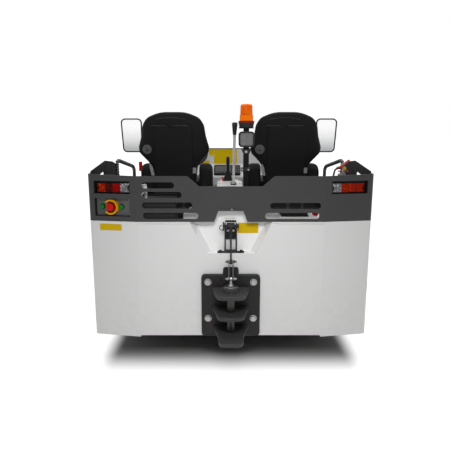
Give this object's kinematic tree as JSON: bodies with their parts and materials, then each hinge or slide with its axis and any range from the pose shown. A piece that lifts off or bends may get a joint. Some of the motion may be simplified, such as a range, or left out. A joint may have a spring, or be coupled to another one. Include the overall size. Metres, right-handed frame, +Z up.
{
  "type": "baggage tow tractor",
  "caption": "Electric baggage tow tractor with open deck, bucket seats, sloping nose, steered front wheels and a stepped tow hitch with a lift-out pin.",
  "frame": {"origin": "on the ground, under the middle of the bounding box", "axes": "+Z up, +Y forward, the way the vehicle drives, +X to the driver's right"},
  "size_m": [1.908, 3.4739, 1.604],
  "materials": {
    "frame_grey": "satin",
    "body_white": "gloss",
    "charcoal": "satin",
    "black_metal": "satin",
    "lamp_clear": "gloss",
    "black_plastic": "matt",
    "lamp_red": "gloss",
    "stop_red": "satin",
    "button_green": "satin",
    "seat_leather": "matt",
    "beacon_amber": "gloss",
    "extinguisher_red": "gloss",
    "lever_white": "satin",
    "battery_case": "satin",
    "hitch_iron": "satin",
    "bright_steel": "satin",
    "rim_white": "satin",
    "tyre": "matt"
  },
  "bodies": {
    "tractor": {"chassis_frame": "frame_grey", "rear_body": "body_white", "rear_panel": "charcoal", "side_guards": "black_metal", "console": "body_white", "deck_boxes": "black_metal", "footwell": "body_white", "front_body": "body_white", "front_fascia": "charcoal", "front_bumper": "black_metal", "headlamps": "lamp_clear", "display_unit": "black_plastic", "tail_lamps": "lamp_red", "control_box": "charcoal", "emergency_stop": "stop_red", "inching_buttons": "button_green", "seat_bases": "black_metal", "seat_shells": "black_plastic", "backrest_pads": "seat_leather", "seat_cushions": "seat_leather", "hip_restraints": "black_plastic", "beacon_post": "black_metal", "work_lamp": "black_plastic", "beacon": "beacon_amber", "mirrors": "black_plastic", "handrails": "black_plastic", "fire_extinguisher": "extinguisher_red", "gear_selector": "black_plastic", "release_lever": "lever_white", "steering_column": "black_plastic", "pedals": "black_metal", "battery_pack": "battery_case", "drive_axle": "frame_grey", "front_axle": "frame_grey", "hitch_body": "hitch_iron", "release_bracket": "hitch_iron"},
    "steering_wheel": {"steering_wheel": "black_plastic"},
    "bonnet": {"bonnet": "body_white"},
    "hitch_pin": {"hitch_pin": "bright_steel"},
    "release_arm": {"release_arm": "hitch_iron"},
    "release_links": {"release_links": "bright_steel"},
    "knuckle_left": {"knuckle_left": "frame_grey"},
    "knuckle_right": {"knuckle_right": "frame_grey"},
    "wheel_rear_left": {"rim_rear_left": "rim_white", "tyre_rear_left": "tyre"},
    "wheel_rear_right": {"rim_rear_right": "rim_white", "tyre_rear_right": "tyre"},
    "wheel_front_left": {"rim_front_left": "rim_white", "tyre_front_left": "tyre"},
    "wheel_front_right": {"rim_front_right": "rim_white", "tyre_front_right": "tyre"}
  },
  "joints": [
    {"name": "wheel_rear_left_spin", "type": "hinge", "parent": "tractor", "child": "wheel_rear_left", "pos_m": [-0.695, -0.723, 0.36], "axis": [1, 0, 0], "continuous": true},
    {"name": "wheel_rear_right_spin", "type": "hinge", "parent": "tractor", "child": "wheel_rear_right", "pos_m": [0.695, -0.723, 0.36], "axis": [1, 0, 0], "continuous": true},
    {"name": "steer_left", "type": "hinge", "parent": "tractor", "child": "knuckle_left", "pos_m": [-0.6, 1.057, 0.36], "axis": [0, 0, 1], "range_deg": [-35, 35]},
    {"name": "steer_right", "type": "hinge", "parent": "tractor", "child": "knuckle_right", "pos_m": [0.6, 1.057, 0.36], "axis": [0, 0, 1], "range_deg": [-35, 35]},
    {"name": "wheel_front_left_spin", "type": "hinge", "parent": "knuckle_left", "child": "wheel_front_left", "pos_m": [-0.695, 1.057, 0.36], "axis": [1, 0, 0], "continuous": true},
    {"name": "wheel_front_right_spin", "type": "hinge", "parent": "knuckle_right", "child": "wheel_front_right", "pos_m": [0.695, 1.057, 0.36], "axis": [1, 0, 0], "continuous": true},
    {"name": "steering_wheel_turn", "type": "hinge", "parent": "tractor", "child": "steering_wheel", "pos_m": [-0.378, 0.14924, 1.22912], "axis": [0, -0.6157, 0.788], "range_deg": [-720, 720]},
    {"name": "bonnet_hinge", "type": "hinge", "parent": "tractor", "child": "bonnet", "pos_m": [0.38, 0.635, 1.24021], "axis": [1, 0, 0], "range_deg": [0, 60]},
    {"name": "pin_lift", "type": "slide", "parent": "tractor", "child": "hitch_pin", "axis": [0, 0, 1], "range_m": [0, 0.24]},
    {"name": "release_arm_turn", "type": "hinge", "parent": "tractor", "child": "release_arm", "pos_m": [0, -1.413, 0.871], "axis": [-1, 0, 0], "range_deg": [0, 53.5]},
    {"name": "release_link_turn", "type": "hinge", "parent": "release_arm", "child": "release_links", "pos_m": [0, -1.558, 0.687], "axis": [1, 0, 0], "range_deg": [0, 111.6]}
  ],
  "couplings": [
    {"joint": "steer_right", "follows": "steer_left", "ratio": 1},
    {"joint": "release_arm_turn", "follows": "pin_lift", "rad_per_m": 3.8783},
    {"joint": "release_link_turn", "follows": "pin_lift", "rad_per_m": 8.1063}
  ]
}
